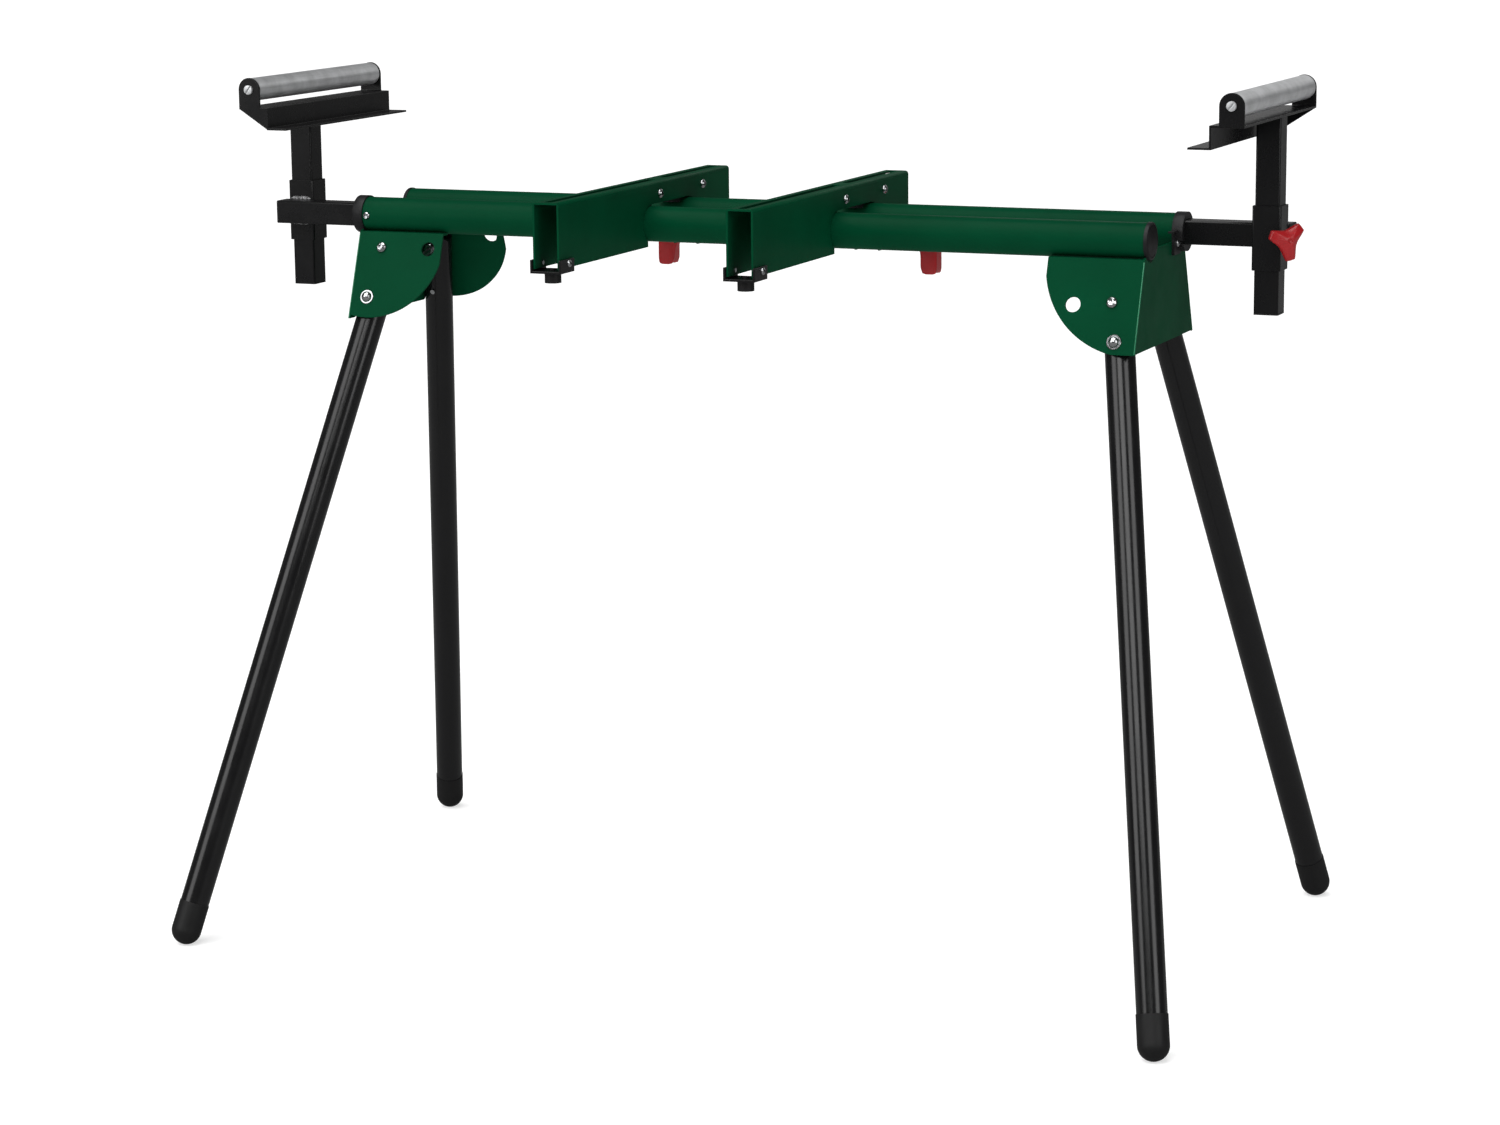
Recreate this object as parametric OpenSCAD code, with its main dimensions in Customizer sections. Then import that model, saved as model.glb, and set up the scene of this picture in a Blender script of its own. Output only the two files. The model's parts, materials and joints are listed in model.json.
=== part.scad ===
// Folding stand for a mitre saw: two parallel beam tubes on four folding legs,
// two saw holders that slide along the tubes, and an extending roller support at each end.
// Origin: on the floor, under the middle of the stand. +X right along the tubes, +Y rear, +Z up.

/* [Beam tubes] */
// Length of both beam tubes
tube_len = 1000; // [900:1:1150]
// Outside diameter of the beam tubes
tube_od = 42.4; // [42:0.1:43]
// Wall thickness of the beam tubes
tube_wall = 2; // [1.5:0.1:2.5]
// Distance between the axes of the two tubes
tube_gap = 112.8; // [110:0.2:116]
// Height of the tube axes above the floor
tube_z = 868; // [840:1:900]

/* [Leg brackets] */
// Sheet thickness of the leg brackets
sheet = 2.5; // [2:0.1:3]
// Angle by which the side plates, and so the legs, lean outwards
flare = 19.6; // [16:0.1:22]
// Width of a side plate along the tubes
plate_w = 114.6; // [110:0.2:120]
// Height of a side plate, measured down its slope
plate_h = 110.4; // [106:0.2:116]
// Distance of the pivots from the middle of the stand
pivot_x = 469.5; // [460:0.5:474]
// Depth of the left pivot below the plate's top edge, down its slope
left_pivot_drop = 19.6; // [18:0.2:21]
// Depth of the right pivot below the plate's top edge, down its slope
right_pivot_drop = 50.5; // [50:0.2:53]

/* [Legs] */
// Outside diameter of a leg tube
leg_od = 35; // [32:0.5:36]
// Outward splay of the left legs along the tubes
left_splay = 10.2; // [8:0.1:12]
// Outward splay of the right legs along the tubes
right_splay = 9.3; // [8:0.1:12]
// Distance of the left legs' lock button from the pivot
left_lock_r = 63.5; // [60:0.5:68]
// Distance of the right legs' lock button from the pivot
right_lock_r = 46; // [44:0.5:48]
// Angle below level at which the folded right legs are locked
right_rest_angle = 4.8; // [4:0.1:8]

/* [Extension arms] */
// Distance of the left post from the middle of the stand
left_reach = 605; // [560:0.5:700]
// Distance of the right post from the middle of the stand
right_reach = 619; // [560:0.5:700]
// Side of the square arm
arm_w = 28; // [26:0.5:28]
// Length of an arm
arm_len = 400; // [380:5:430]

/* [Roller supports] */
// Side of the square post
post_w = 29; // [28:0.5:30]
// Length of a post
post_len = 224; // [200:1:240]
// Height of the left post's foot above the floor
left_post_z = 777; // [760:1:790]
// Height of the right post's foot above the floor
right_post_z = 782; // [760:1:790]
// Diameter of the support roller
roller_d = 28; // [26:0.5:29]
// Length of the roller bracket
roller_bracket_len = 310; // [290:2:320]

/* [Saw holders] */
// Distance of the left holder from the middle of the stand, to the left
left_holder_x = 135.5; // [100:1:300]
// Distance of the right holder from the middle of the stand, to the right
right_holder_x = 104; // [100:1:300]
// Width of a holder channel
holder_w = 33; // [32:0.5:34]
// Front end of the holder channels
holder_front = -311; // [-320:1:-290]
// Rear end of the holder channels
holder_rear = 181; // [175:1:190]
// Height of the holders' top face above the tube axes
holder_rise = 49; // [48:0.5:52]
// Width of the slots that the saw's bolts go through
slot_w = 10; // [8:0.5:11]

/* [Colours] */
// Powder coat of the tubes, brackets and holders
green = "#00482a";
// Satin paint of the legs and arms
black = "#141414";
// Plastic caps, collars and saddles
plastic = "#262626";
// Knobs
red = "#b01820";
// Bolts, rollers and lock buttons
silver = "#c4c6c8";

/* [Hidden] */
$fn = 48;
TUBE_R = tube_od / 2;
TUBE_Y = tube_gap / 2;
HALF = tube_len / 2;
GAP = 0.3;                                   // space between faces that slide past each other
RUN = 0.06;                                  // radial clearance of a running fit

// leg brackets: the plates start beside the tubes' undersides
PLATE_Y = TUBE_Y + TUBE_R + 1.4;
PLATE_Z = tube_z - 19;
WEB_X = HALF + sheet + 0.1;
PLATE_IN = WEB_X - plate_w;
FLANGE_IN = 66;
LEFT_ARC = [WEB_X - 23.5, 13, 94.6];         // x, depth and radius of the left plate's round edge
RIGHT_ARC = [WEB_X - 6.4, 2.7, 110];
LOCK_HOLE_R = 9;

// legs
LEG_R = leg_od / 2;
LEG_WALL = 1.5;
LEG_OFFSET = 24;                             // leg axis behind the plate's outer face
FOOT_R = LEG_R + 0.7;
FOOT_LEN = 34;
PIVOT_R = 4;

// arms, sleeves and posts
SLEEVE_W = post_w + 5;
SLEEVE_H = 74;
SLEEVE_Y = TUBE_Y - arm_w / 2 - SLEEVE_W / 2;
CORNER_R = 2.2;
KNOB_Z = tube_z;

// roller supports
ROLLER_OFF = 3.5;                            // roller axis outside the post axis
ROLLER_UP = 24;                              // roller axis above the bracket's underside
EAR_W = 29;
STEP_H = 27;
STEP_IN = 25.5;
LEDGE_W = 27;

// saw holders
HOLDER_WALL = 2.5;
TOP_Z = tube_z + holder_rise;
WALL_Z = tube_z - 27;                        // lower edge of the front part
REAR_WALL_Z = tube_z - 39;
NECK_Z = tube_z + 23;
BOLT_Z = tube_z + 34;
BOLT_YS = [-30, 97];
CLAMP_Y = 155;
CLAMP_Z = tube_z - 30;
JAW_BOLT = [97, BOLT_Z];

// ---------- helpers ----------

// cylinder along +X, from x to x + length
module rod_x(x, length, r) {
    translate([x, 0, 0]) rotate([0, 90, 0]) cylinder(h = length, r = r);
}

// cylinder along +Y, from y to y + length
module rod_y(y, length, r) {
    translate([0, y, 0]) rotate([-90, 0, 0]) cylinder(h = length, r = r);
}

// domed bolt head on the XY plane, with a hexagon socket
module button_head(r, h, socket = 2.2) {
    difference() {
        union() {
            cylinder(h = h * 0.45, r = r);
            translate([0, 0, h * 0.45]) cylinder(h = h * 0.55, r1 = r, r2 = r * 0.62);
        }
        translate([0, 0, h * 0.4]) cylinder(h = h, r = socket, $fn = 6);
    }
}

module hex_nut(r, h, bore) {
    difference() {
        cylinder(h = h, r = r, $fn = 6);
        translate([0, 0, -1]) cylinder(h = h + 2, r = bore);
    }
}

// square with rounded corners, centred
module soft_square(side, r) {
    square([side - 2 * r, side], center = true);
    square([side, side - 2 * r], center = true);
    for (i = [-1, 1], j = [-1, 1])
        translate([i * (side / 2 - r), j * (side / 2 - r)]) circle(r);
}

module square_tube(side, wall, length) {
    linear_extrude(length) difference() {
        soft_square(side, CORNER_R);
        soft_square(side - 2 * wall, CORNER_R - 1);
    }
}

// the left half is the right half's design, turned about the vertical axis
module half_turn(left) {
    rotate([0, 0, left ? 180 : 0]) children();
}

// rear plate's frame: X along the tubes, Y out of its outer face, -Z down its slope
module on_plate(front) {
    mirror([0, front ? 1 : 0, 0])
        translate([0, PLATE_Y, PLATE_Z]) rotate([flare, 0, 0]) children();
}

function pivot_drop(left) = left ? left_pivot_drop : right_pivot_drop;
function splay(left) = left ? left_splay : right_splay;
function lock_r(left) = left ? left_lock_r : right_lock_r;
function side(left) = left ? -1 : 1;
function rest_angle(left) = left ? 0 : right_rest_angle;
function reach(left) = left ? left_reach : right_reach;
function post_z(left) = left ? left_post_z : right_post_z;
function holder_x(left) = left ? -left_holder_x : right_holder_x;

// height of the leg axis at its pivot, and the leg's length down to the floor
function leg_top_z(left) = PLATE_Z - pivot_drop(left) * cos(flare) - LEG_OFFSET * sin(flare);
function leg_len(left) = (leg_top_z(left) - FOOT_R) / (cos(flare) * cos(splay(left)));

// leg's frame: origin on the pivot, -Z down the leg
module on_leg(left, front) {
    on_plate(front) translate([side(left) * pivot_x, -LEG_OFFSET, -pivot_drop(left)])
        rotate([0, -side(left) * splay(left), 0]) children();
}

// ---------- beam ----------

module beam_tube(y) {
    translate([0, y, tube_z]) difference() {
        rod_x(-HALF, tube_len, TUBE_R);
        rod_x(-HALF - 1, tube_len + 2, TUBE_R - tube_wall);
    }
}

module front_tube() {
    color(green) difference() {
        beam_tube(-TUBE_Y);
        // hole for the head of the collar's lock screw
        translate([6 - HALF, -TUBE_Y, tube_z]) rod_y(-TUBE_R - 1, 6, 4.6);
    }
}

module rear_tube() {
    color(green) difference() {
        beam_tube(TUBE_Y);
        translate([HALF - 6, TUBE_Y, tube_z]) rod_y(TUBE_R - 5, 6, 4.6);
    }
}

// outline of a side plate in X and slope depth, drawn for the right end
module plate_outline(arc) {
    intersection() {
        translate([PLATE_IN, -plate_h]) square([WEB_X - PLATE_IN, plate_h]);
        translate([arc[0], -arc[1]]) circle(arc[2], $fn = 96);
    }
}

// lock button's place, in the plate's frame, at an angle from straight down the slope
function lock_place(left, angle) = [
    pivot_x + lock_r(left) * sin(angle), -pivot_drop(left) - lock_r(left) * cos(angle)
];

module side_plate(left) {
    rotate([90, 0, 0]) linear_extrude(sheet) difference() {
        plate_outline(left ? LEFT_ARC : RIGHT_ARC);
        translate([pivot_x, -pivot_drop(left)]) circle(PIVOT_R + 0.4);
        translate(lock_place(left, splay(left))) circle(LOCK_HOLE_R);
        translate(lock_place(left, -90 + rest_angle(left))) circle(LOCK_HOLE_R);
    }
}

// flat strip under the tube that each side plate is folded from
module plate_flange() {
    translate([PLATE_IN, FLANGE_IN, PLATE_Z - sheet])
        cube([HALF - 0.5 - PLATE_IN, PLATE_Y - FLANGE_IN - 0.2, sheet]);
}

module web() {
    bottom_y = PLATE_Y + plate_h * sin(flare) - 0.5;
    bottom_z = PLATE_Z - plate_h * cos(flare) + 0.3;
    translate([WEB_X - sheet, 0, 0]) rotate([90, 0, 90]) linear_extrude(sheet) difference() {
        polygon([
            [-bottom_y, bottom_z], [bottom_y, bottom_z], [PLATE_Y - 0.5, PLATE_Z],
            [TUBE_Y, tube_z - 10], [-TUBE_Y, tube_z - 10], [-PLATE_Y + 0.5, PLATE_Z]
        ]);
        for (y = [-TUBE_Y, TUBE_Y]) translate([y, tube_z]) circle(TUBE_R + 3);
    }
}

// the left legs stand closer to the web's foot, which is notched for them
module bracket(left) {
    color(green) difference() {
        mirror([left ? 1 : 0, 0, 0]) {
            web();
            for (front = [false, true]) {
                on_plate(front) side_plate(left);
                mirror([0, front ? 1 : 0, 0]) plate_flange();
            }
        }
        if (left) for (front = [false, true])
            on_leg(left, front) translate([0, 0, -140]) cylinder(h = 110, r = LEG_R + 1.2);
    }
}

module left_bracket() { bracket(true); }
module right_bracket() { bracket(false); }

// plug with a flat rim in the closed end of each tube
module tube_caps() {
    color(plastic) for (left = [false, true]) half_turn(left)
        translate([HALF, -TUBE_Y, tube_z]) {
            rod_x(0, 3, TUBE_R + 0.8);
            rod_x(3, 2, TUBE_R - 1);
            rod_x(-16, 16, TUBE_R - tube_wall);
        }
}

// guide collar that the arm slides through, with the ear that is screwed on
EAR_SCREW = [38, 856];
module tube_collars() {
    color(plastic) for (left = [false, true]) half_turn(left) difference() {
        union() {
            translate([HALF, TUBE_Y, tube_z]) {
                rod_x(0, 13, TUBE_R + 1.8);
                rod_x(-22, 22, TUBE_R - tube_wall);
            }
            translate([WEB_X, 26, 843]) cube([3.4, 26, 29]);
            translate([WEB_X, 10, 870]) cube([7, 20, 2]);
        }
        translate([HALF - 30, TUBE_Y, tube_z]) rotate([90, 0, 90])
            linear_extrude(60) soft_square(arm_w + 2 * GAP, CORNER_R);
        translate([0, EAR_SCREW[0], EAR_SCREW[1]]) {
            rod_x(HALF - 3, 12, 2);
            rod_x(WEB_X + 3.4, 12, 4.5);
        }
        translate([HALF - 6, TUBE_Y, tube_z]) rod_y(8, 20, 3);
    }
}

module collar_screws() {
    color(silver) for (left = [false, true]) half_turn(left) {
        translate([WEB_X + 3.4, EAR_SCREW[0], EAR_SCREW[1]]) {
            rotate([0, 90, 0]) button_head(4, 2.6, 1.6);
            rod_x(-5.8, 5.8, 1.9);
        }
        translate([HALF - 6, TUBE_Y, tube_z]) {
            translate([0, TUBE_R - tube_wall, 0]) rotate([-90, 0, 0]) button_head(4.4, 3, 2);
            rod_y(arm_w / 2 + GAP, TUBE_R - tube_wall - arm_w / 2 - GAP, 2.9);
        }
    }
}

module at_each_pivot() {
    for (left = [false, true], front = [false, true])
        on_plate(front) translate([side(left) * pivot_x, 0, -pivot_drop(left)]) children();
}

NUT_Y = -LEG_OFFSET - LEG_R - 0.4;
module pivot_bolts() {
    color(silver) at_each_pivot() {
        rotate([-90, 0, 0]) button_head(6.2, 4.4, 2.6);
        rod_y(NUT_Y - 8, -NUT_Y + 8, PIVOT_R);
    }
}

module pivot_washers_and_nuts() {
    color(silver) at_each_pivot() {
        difference() {
            rod_y(LEG_R - LEG_OFFSET + 0.1, LEG_OFFSET - LEG_R - sheet - 0.1, 9);
            rod_y(-10, 12, PIVOT_R);
        }
        translate([0, NUT_Y, 0]) rotate([90, 0, 0]) hex_nut(7.5, 6.5, PIVOT_R);
    }
}

// ---------- legs ----------

module leg(left, front) {
    color(black) on_leg(left, front) difference() {
        union() {
            translate([0, 0, -leg_len(left)]) cylinder(h = leg_len(left), r = LEG_R);
            intersection() {
                cylinder(h = LEG_R, r = LEG_R);
                rod_y(-LEG_R, leg_od, LEG_R);
            }
        }
        translate([0, 0, -leg_len(left) - 1]) cylinder(h = leg_len(left) + 40, r = LEG_R - LEG_WALL);
        rod_y(-30, 60, PIVOT_R + RUN);
        translate([0, 0, -lock_r(left)]) {
            rod_y(0, 30, LOCK_HOLE_R - 0.1);
            rod_y(-30, 30, 3 + RUN);
        }
    }
}

// rubber cap over the end of a leg, with a round sole
module foot(left, front) {
    color(plastic) on_leg(left, front) translate([0, 0, -leg_len(left)]) {
        difference() {
            union() {
                sphere(FOOT_R);
                cylinder(h = FOOT_LEN, r = FOOT_R);
            }
            cylinder(h = FOOT_LEN + 1, r = LEG_R + 0.02);
        }
    }
}

SHOULDER_TOP = LEG_OFFSET + 1;
// snap button: a dome in the plate's hole and a tail through the leg, riveted to a bent leaf
// spring that stands against the leg's inner wall
module lock_catch(left, front) {
    color(silver) on_leg(left, front) translate([0, 0, -lock_r(left)]) {
        rod_y(12, SHOULDER_TOP - 12, LOCK_HOLE_R - 0.4);
        intersection() {
            translate([0, SHOULDER_TOP - 1.5, 0]) sphere(7);
            rod_y(SHOULDER_TOP - 0.1, 10, 10);
        }
        rod_y(-LEG_R - 2, LEG_R + SHOULDER_TOP - 2, 3);
        upright(-5, 10) polygon([
            [12, 7], [13, 7], [13, -8], [0, -49], [-14.4, -6], [-14.4, 5],
            [-13.4, 5], [-13.4, -6], [0, -46], [12, -8]
        ]);
    }
}

module front_left_leg() { leg(true, true); }
module rear_left_leg() { leg(true, false); }
module front_right_leg() { leg(false, true); }
module rear_right_leg() { leg(false, false); }
module front_left_foot() { foot(true, true); }
module rear_left_foot() { foot(true, false); }
module front_right_foot() { foot(false, true); }
module rear_right_foot() { foot(false, false); }
module front_left_lock_catch() { lock_catch(true, true); }
module rear_left_lock_catch() { lock_catch(true, false); }
module front_right_lock_catch() { lock_catch(false, true); }
module rear_right_lock_catch() { lock_catch(false, false); }

// ---------- extension arms and roller supports, drawn for the right end ----------

STUD_R = 4;
// 45 degree axis of the post's clamp screw, through the sleeve's outer corner
module on_knob_axis(left) {
    half_turn(left) translate([reach(left), SLEEVE_Y, KNOB_Z]) rotate([0, 0, -45]) children();
}
SLEEVE_CORNER = SLEEVE_W / 2 * sqrt(2) - CORNER_R * (sqrt(2) - 1);
POST_CORNER = post_w / 2 * sqrt(2) - CORNER_R * (sqrt(2) - 1);

module arm(left) {
    end_x = reach(left) + SLEEVE_W / 2;
    color(black) difference() {
        union() {
            half_turn(left) {
                translate([end_x - arm_len, TUBE_Y, tube_z]) rotate([90, 0, 90])
                    square_tube(arm_w, 2, arm_len);
                translate([reach(left), SLEEVE_Y, tube_z - SLEEVE_H / 2])
                    linear_extrude(SLEEVE_H) difference() {
                        soft_square(SLEEVE_W, CORNER_R);
                        soft_square(post_w + 2 * GAP, CORNER_R);
                    }
            }
            on_knob_axis(left) rod_x(SLEEVE_CORNER - 3, 9, 8);
        }
        on_knob_axis(left) rod_x(POST_CORNER - 1, 20, STUD_R + RUN);
    }
}
module left_arm() { arm(true); }
module right_arm() { arm(false); }

// end plug outside, and the glide on the end inside the beam tube
module arm_plugs(left) {
    end_x = reach(left) + SLEEVE_W / 2;
    color(plastic) half_turn(left) translate([end_x, TUBE_Y, tube_z]) rotate([90, 0, 90]) {
        linear_extrude(2) soft_square(arm_w, CORNER_R);
        translate([0, 0, -12]) linear_extrude(12) soft_square(arm_w - 4, 1.2);
        translate([0, 0, -arm_len - 10]) cylinder(h = 10, r = TUBE_R - tube_wall - GAP);
        translate([0, 0, -arm_len]) linear_extrude(14) soft_square(arm_w - 4, 1.2);
    }
}
module left_arm_plugs() { arm_plugs(true); }
module right_arm_plugs() { arm_plugs(false); }

module post(left) {
    color(black) half_turn(left) translate([reach(left), SLEEVE_Y, post_z(left)])
        square_tube(post_w, 2, post_len);
}
module left_post() { post(true); }
module right_post() { post(false); }

module post_plug(left) {
    color(plastic) half_turn(left) translate([reach(left), SLEEVE_Y, post_z(left)]) {
        translate([0, 0, -2]) linear_extrude(2) soft_square(post_w, CORNER_R);
        linear_extrude(12) soft_square(post_w - 4, 1.2);
    }
}
module left_post_plug() { post_plug(true); }
module right_post_plug() { post_plug(false); }

// frame of the roller: origin on its axis, in the middle
module on_roller(left) {
    half_turn(left) translate([reach(left) + ROLLER_OFF, 0, post_z(left) + post_len + ROLLER_UP])
        children();
}

// end ear with a round top, drawn on the XZ plane
module ear() {
    rotate([90, 0, 0]) linear_extrude(sheet) difference() {
        union() {
            circle(EAR_W / 2);
            translate([-EAR_W / 2, -ROLLER_UP]) square([EAR_W, ROLLER_UP]);
        }
        circle(PIVOT_R);
    }
}

module roller_bracket(left) {
    half_len = roller_bracket_len / 2;
    color(black) on_roller(left) {
        translate([-STEP_IN, -half_len, -ROLLER_UP])
            cube([STEP_IN + EAR_W / 2, roller_bracket_len, sheet]);
        translate([-STEP_IN, -half_len, -ROLLER_UP - STEP_H + sheet])
            cube([sheet, roller_bracket_len, STEP_H]);
        translate([-STEP_IN - LEDGE_W + sheet, -half_len, -ROLLER_UP - STEP_H + sheet])
            cube([LEDGE_W, roller_bracket_len, sheet]);
        translate([0, sheet - half_len, 0]) ear();
        translate([0, half_len, 0]) ear();
        // gusset that closes the far end under the base
        translate([0, half_len, 0]) rotate([90, 0, 0]) linear_extrude(sheet) polygon([
            [-STEP_IN + 1, -ROLLER_UP + 0.5], [EAR_W / 2, -ROLLER_UP + 0.5],
            [-STEP_IN + 1, -ROLLER_UP - STEP_H + sheet]
        ]);
    }
}
module left_roller_bracket() { roller_bracket(true); }
module right_roller_bracket() { roller_bracket(false); }

// axle with slotted screw heads outside the ears
module roller_axle(left) {
    half_len = roller_bracket_len / 2;
    color(silver) on_roller(left) difference() {
        union() {
            rod_y(-half_len - 3, roller_bracket_len + 6, PIVOT_R);
            for (y = [-half_len - 3, half_len]) rod_y(y, 3, 5.6);
        }
        for (y = [-half_len - 4, half_len + 1.6]) rotate([0, 40, 0])
            translate([-7, y, -0.7]) cube([14, 2.4, 1.4]);
    }
}
module left_roller_axle() { roller_axle(true); }
module right_roller_axle() { roller_axle(false); }

ROLLER_HALF = roller_bracket_len / 2 - sheet - 1.2;
module roller(left) {
    color(silver) on_roller(left) difference() {
        rod_y(-ROLLER_HALF, 2 * ROLLER_HALF, roller_d / 2);
        rod_y(-ROLLER_HALF - 1, 2 * ROLLER_HALF + 2, roller_d / 2 - 1.5);
    }
}
module left_roller() { roller(true); }
module right_roller() { roller(false); }

module roller_bushes(left) {
    color(plastic) on_roller(left) for (end = [0, 1]) mirror([0, end, 0]) difference() {
        union() {
            rod_y(ROLLER_HALF - 14, 14, roller_d / 2 - 1.5);
            rod_y(ROLLER_HALF, 0.8, roller_d / 2 - 1);
        }
        rod_y(ROLLER_HALF - 20, 30, PIVOT_R + RUN);
    }
}
module left_roller_bushes() { roller_bushes(true); }
module right_roller_bushes() { roller_bushes(false); }

// three-lobed knob on the XY plane, its lobes reaching to r
module lobed_knob(r, hub_r, tip_r, h) {
    linear_extrude(h) {
        circle(hub_r);
        for (lobe = [0 : 2]) rotate(90 + 120 * lobe) {
            translate([r - tip_r, 0]) circle(tip_r);
            polygon([[0, -hub_r], [r - tip_r, -tip_r], [r - tip_r, tip_r], [0, hub_r]]);
        }
    }
}

KNOB_GAP = 8;
module post_knob(left) {
    color(red) on_knob_axis(left) translate([SLEEVE_CORNER + KNOB_GAP, 0, 0]) {
        rotate([0, 90, 0]) rotate([0, 0, left ? 0 : 41]) lobed_knob(23.5, 11, 5.5, 11);
        rod_x(11, 5, 8);
        rod_x(POST_CORNER + GAP - SLEEVE_CORNER - KNOB_GAP,
            SLEEVE_CORNER + KNOB_GAP - POST_CORNER, STUD_R);
    }
}
module left_post_knob() { post_knob(true); }
module right_post_knob() { post_knob(false); }

// ---------- saw holders, drawn for the right one ----------

// the left holder is the right one's mirror image
module on_holder(left) {
    translate([holder_x(left), 0, 0]) mirror([left ? 1 : 0, 0, 0]) children();
}

// plate standing in the YZ plane, drawn in Y and Z
module upright(x, thickness) {
    translate([x, 0, 0]) rotate([90, 0, 90]) linear_extrude(thickness) children();
}

module holder_side_view() {
    reach_over = TUBE_R + 1.2;
    difference() {
        translate([holder_front, REAR_WALL_Z])
            square([holder_rear - holder_front, TOP_Z - REAR_WALL_Z]);
        translate([holder_front - 1, REAR_WALL_Z - 1])
            square([-66 - holder_front + 1, WALL_Z - REAR_WALL_Z + 1]);
        translate([-66, REAR_WALL_Z - 1]) square([148, tube_z - REAR_WALL_Z + 1]);
        translate([-TUBE_Y, tube_z - 1]) square([2 * TUBE_Y, NECK_Z - tube_z + 1]);
        for (y = [-TUBE_Y, TUBE_Y]) translate([y, tube_z]) circle(reach_over);
    }
}

// folded channel seen from its end, with round outer and inner bends
module channel_section() {
    bend = 4;
    difference() {
        union() {
            translate([-holder_w / 2, REAR_WALL_Z]) square([holder_w, TOP_Z - REAR_WALL_Z - bend]);
            translate([bend - holder_w / 2, TOP_Z - bend]) square([holder_w - 2 * bend, bend]);
            for (x = [-1, 1]) translate([x * (holder_w / 2 - bend), TOP_Z - bend]) circle(bend);
        }
        translate([HOLDER_WALL - holder_w / 2, REAR_WALL_Z - 1])
            square([holder_w - 2 * HOLDER_WALL, TOP_Z - REAR_WALL_Z - HOLDER_WALL + 1]);
    }
}

SLOTS = [[-306, -13.4], [11, 175]];
module top_slot(ends) {
    r = slot_w / 2;
    translate([0, 0, TOP_Z - 10]) {
        translate([-r, ends[0] + r, 0]) cube([slot_w, ends[1] - ends[0] - slot_w, 20]);
        for (y = [ends[0] + r, ends[1] - r]) translate([0, y, 0]) cylinder(h = 20, r = r);
    }
}

CLIP_BOLT = [-291, tube_z - 21.5];
module holder(left) {
    color(green) on_holder(left) difference() {
        translate([0, holder_rear, 0]) rotate([90, 0, 0])
            linear_extrude(holder_rear - holder_front) channel_section();
        upright(-holder_w, 2 * holder_w) difference() {
            translate([holder_front - 10, REAR_WALL_Z - 10])
                square([holder_rear - holder_front + 20, TOP_Z - REAR_WALL_Z + 9]);
            holder_side_view();
        }
        for (ends = SLOTS) top_slot(ends);
        for (y = BOLT_YS) translate([0, y, BOLT_Z]) rod_x(-holder_w, 2 * holder_w, 3);
        translate([0, CLIP_BOLT[0], CLIP_BOLT[1]]) rod_x(-holder_w, 2 * holder_w, 2.5);
        translate([0, CLAMP_Y, CLAMP_Z]) rod_x(-holder_w, 2 * holder_w, 4 + RUN);
    }
}
module left_holder() { holder(true); }
module right_holder() { holder(false); }

// plastic saddles inside the channel, over the front and the rear tube
SADDLE_W = 19.8;
module saddles(left) {
    inner_top = TOP_Z - HOLDER_WALL;
    color(plastic) on_holder(left) difference() {
        for (ys = [[-84, -18], [22, 108]])
            translate([-SADDLE_W / 2, ys[0], tube_z + 1])
                cube([SADDLE_W, ys[1] - ys[0], inner_top - tube_z - 1]);
        for (y = [-TUBE_Y, TUBE_Y]) translate([0, y, tube_z]) rod_x(-30, 60, TUBE_R + GAP);
        translate([-30, TUBE_Y + TUBE_R + 4, tube_z]) cube([60, 60, 22]);
        translate([-30, -40, tube_z]) cube([60, 30, 24]);
        translate([-30, 20, tube_z]) cube([60, 22, 18]);
        for (y = BOLT_YS) translate([0, y, BOLT_Z]) rod_x(-30, 60, 3);
    }
}
module left_saddles() { saddles(true); }
module right_saddles() { saddles(false); }

// cross bolts with socket heads on the right-hand side and nuts on the other
module holder_bolts(left) {
    mid = holder_x(left);
    half = holder_w / 2;
    color(silver) translate([mid, 0, 0]) {
        for (y = BOLT_YS) translate([0, y, BOLT_Z]) {
            translate([half, 0, 0]) rotate([0, 90, 0]) button_head(6, 4.5, 2.6);
            rod_x(-half - 6, holder_w + 6, 3);
            translate([-half - 5, 0, 0]) rotate([0, 90, 0]) hex_nut(6, 5, 3);
        }
        for (turn = [0, 1]) mirror([turn, 0, 0]) translate([0, CLIP_BOLT[0], CLIP_BOLT[1]]) {
            translate([half + CLIP_T, 0, 0]) rotate([0, 90, 0]) button_head(4.2, 3, 1.8);
            rod_x(half - 4, 4 + CLIP_T, 2.5);
        }
    }
}
module left_holder_bolts() { holder_bolts(true); }
module right_holder_bolts() { holder_bolts(false); }

// bent strip across the channel's open front end
CLIP_T = 2.8;
CLIP_Z = tube_z - 32;
CLIP_H = 15.7;
CLIP_YS = [-314, -277];
PAD_Y = -294;
module front_clip(left) {
    half = holder_w / 2;
    color(black) translate([holder_x(left), 0, 0]) difference() {
        union() {
            translate([-half - CLIP_T, CLIP_YS[0], CLIP_Z])
                cube([holder_w + 2 * CLIP_T, CLIP_YS[1] - CLIP_YS[0], CLIP_T]);
            for (x = [-half - CLIP_T, half]) translate([x, CLIP_YS[0], CLIP_Z])
                cube([CLIP_T, CLIP_YS[1] - CLIP_YS[0], CLIP_H]);
        }
        translate([0, CLIP_BOLT[0], CLIP_BOLT[1]]) rod_x(-30, 60, 2.5);
        translate([0, PAD_Y, CLIP_Z - 1]) cylinder(h = 5, r = 3);
    }
}
module left_front_clip() { front_clip(true); }
module right_front_clip() { front_clip(false); }

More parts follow.
